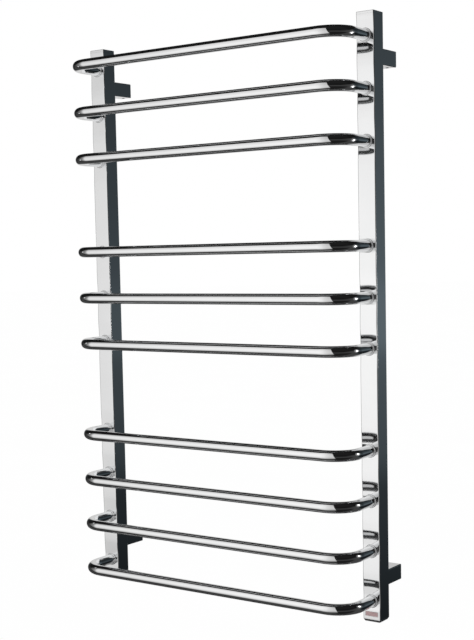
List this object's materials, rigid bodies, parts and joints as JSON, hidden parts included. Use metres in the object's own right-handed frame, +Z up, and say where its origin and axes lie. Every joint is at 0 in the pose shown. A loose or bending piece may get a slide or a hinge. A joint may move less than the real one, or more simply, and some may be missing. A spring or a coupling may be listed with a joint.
{
  "type": "heated towel rail",
  "caption": "Wall-mounted electric towel warmer: a ladder of round polished rails that bend back into square uprights, held off the wall on short square arms.",
  "frame": {"origin": "centre of the four fixing holes, on the wall plane", "axes": "+Z up, +Y into the wall, so the rails face -Y and +X is to the right as seen from the front"},
  "size_m": [0.6, 0.1715, 1],
  "materials": {
    "polished_steel": "polished",
    "rail_steel": "polished",
    "block_alloy": "satin cast",
    "screw_steel": "black oxide",
    "cable_silicone": "matte",
    "seal_rubber": "matte",
    "terminal_plastic": "matte",
    "brass": "machined",
    "lead_brown": "satin",
    "lead_blue": "satin",
    "lead_green": "satin",
    "cutout_case": "pressed",
    "spring_steel": "bright",
    "badge_enamel": "enamel"
  },
  "bodies": {
    "wall_blocks": {"wall_block_top_left": "block_alloy", "wall_block_top_right": "block_alloy", "wall_block_bottom_left": "block_alloy", "wall_block_bottom_right": "block_alloy", "entry_grommet": "seal_rubber"},
    "rack": {"upright_left": "polished_steel", "upright_right": "polished_steel", "end_cap_top_left": "polished_steel", "end_cap_top_right": "polished_steel", "end_cap_bottom_left": "polished_steel", "end_cap_bottom_right": "polished_steel", "rail_01": "rail_steel", "rail_02": "rail_steel", "rail_03": "rail_steel", "rail_04": "rail_steel", "rail_05": "rail_steel", "rail_06": "rail_steel", "rail_07": "rail_steel", "rail_08": "rail_steel", "rail_09": "rail_steel", "rail_10": "rail_steel", "rail_rings_left": "rail_steel", "rail_rings_right": "rail_steel", "arm_top_left": "polished_steel", "arm_top_right": "polished_steel", "arm_bottom_left": "polished_steel", "arm_bottom_right": "polished_steel", "heating_cable": "cable_silicone", "cable_end_seal": "seal_rubber", "cable_splice": "seal_rubber", "terminal_block": "terminal_plastic", "terminal_screws": "brass", "lead_live": "lead_brown", "lead_neutral": "lead_blue", "lead_earth": "lead_green", "thermal_cutout": "cutout_case", "cutout_clip": "spring_steel", "earth_stud": "spring_steel", "earth_nut": "brass", "earth_ring": "brass", "badge": "badge_enamel"},
    "set_screw_top_left": {"set_screw_top_left": "screw_steel"},
    "set_screw_top_right": {"set_screw_top_right": "screw_steel"},
    "set_screw_bottom_left": {"set_screw_bottom_left": "screw_steel"},
    "set_screw_bottom_right": {"set_screw_bottom_right": "screw_steel"}
  },
  "joints": [
    {"name": "rack_off_wall", "type": "slide", "parent": "wall_blocks", "child": "rack", "axis": [0, -1, 0], "range_m": [0, 0.03]},
    {"name": "set_screw_top_left_turn", "type": "hinge", "parent": "rack", "child": "set_screw_top_left", "pos_m": [-0.284, -0.008, 0.42365], "axis": [0, 0, -1], "range_deg": [0, 720]},
    {"name": "set_screw_top_right_turn", "type": "hinge", "parent": "rack", "child": "set_screw_top_right", "pos_m": [0.284, -0.008, 0.42365], "axis": [0, 0, -1], "range_deg": [0, 720]},
    {"name": "set_screw_bottom_left_turn", "type": "hinge", "parent": "rack", "child": "set_screw_bottom_left", "pos_m": [-0.284, -0.008, -0.43635], "axis": [0, 0, -1], "range_deg": [0, 720]},
    {"name": "set_screw_bottom_right_turn", "type": "hinge", "parent": "rack", "child": "set_screw_bottom_right", "pos_m": [0.284, -0.008, -0.43635], "axis": [0, 0, -1], "range_deg": [0, 720]}
  ]
}
